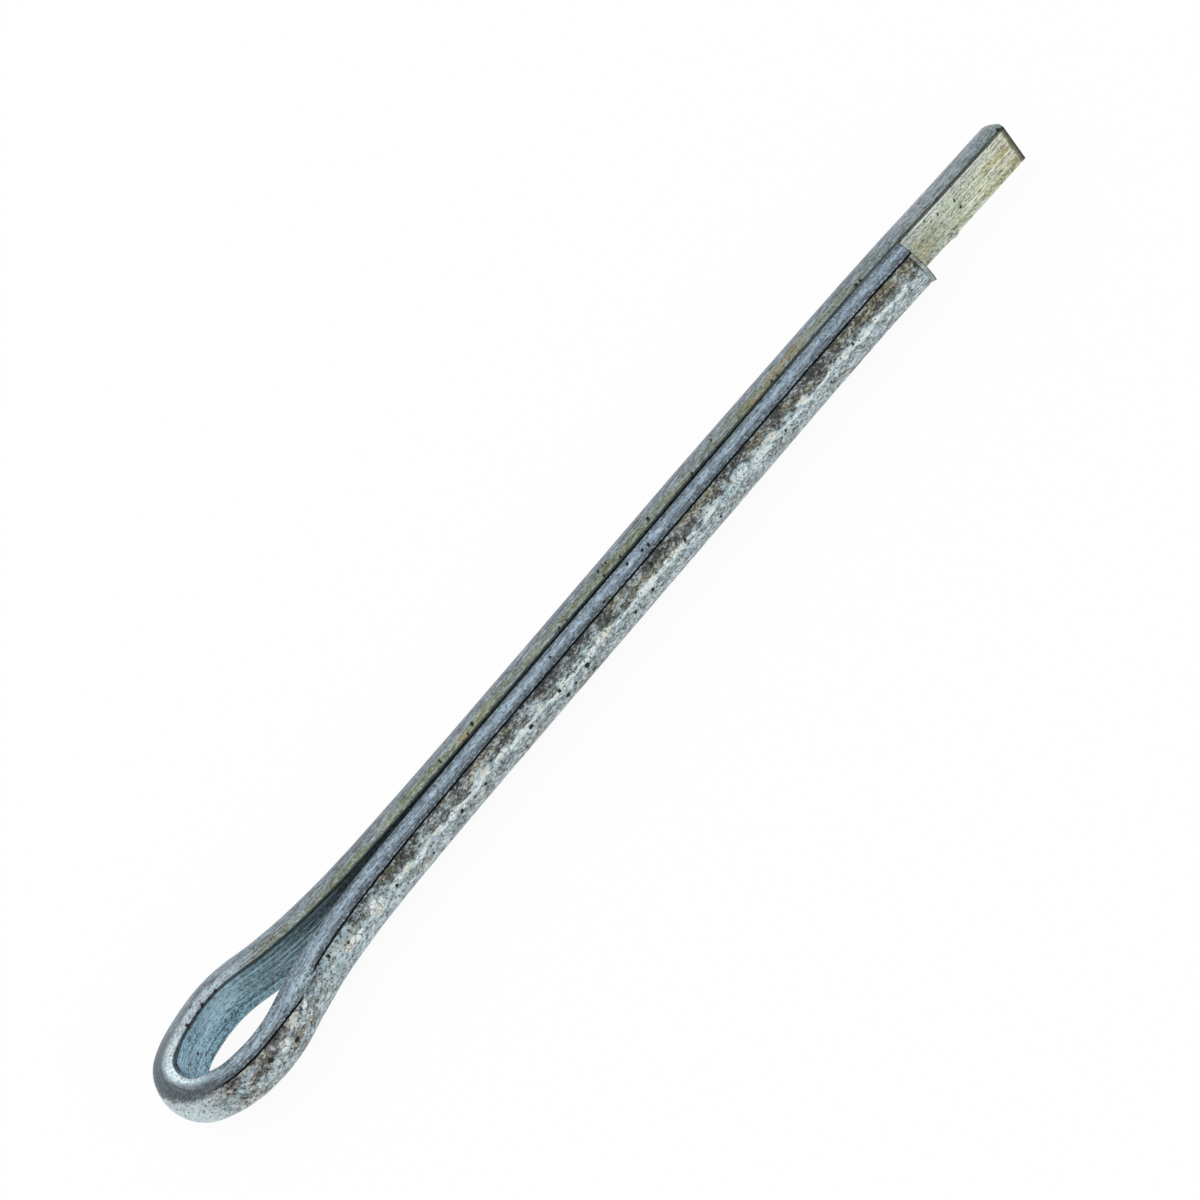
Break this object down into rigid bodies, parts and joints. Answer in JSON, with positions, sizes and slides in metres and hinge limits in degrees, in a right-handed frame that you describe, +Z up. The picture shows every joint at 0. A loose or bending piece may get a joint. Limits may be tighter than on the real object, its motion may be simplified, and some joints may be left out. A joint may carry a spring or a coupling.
{
  "type": "cotter pin",
  "caption": "Split pin folded from half-round steel wire: an oval eye, a tapering neck and two straight legs that together make a round shank; bent apart, the legs lock it in a cross hole.",
  "frame": {"origin": "on the shank's axis at the seat under the eye, where the neck comes to rest in its hole; the pin lies flat, so the floor is half the wire's width below", "axes": "+X along the shank to the tips, +Y across the split to the side of the long leg, +Z up through the eye"},
  "size_m": [0.082, 0.0084, 0.0044],
  "materials": {
    "zinc_plated_steel": "bright zinc plating gone dull, with dark specks, pits and pale flakes"
  },
  "bodies": {
    "root": {"pin": "zinc_plated_steel"}
  },
  "joints": []
}
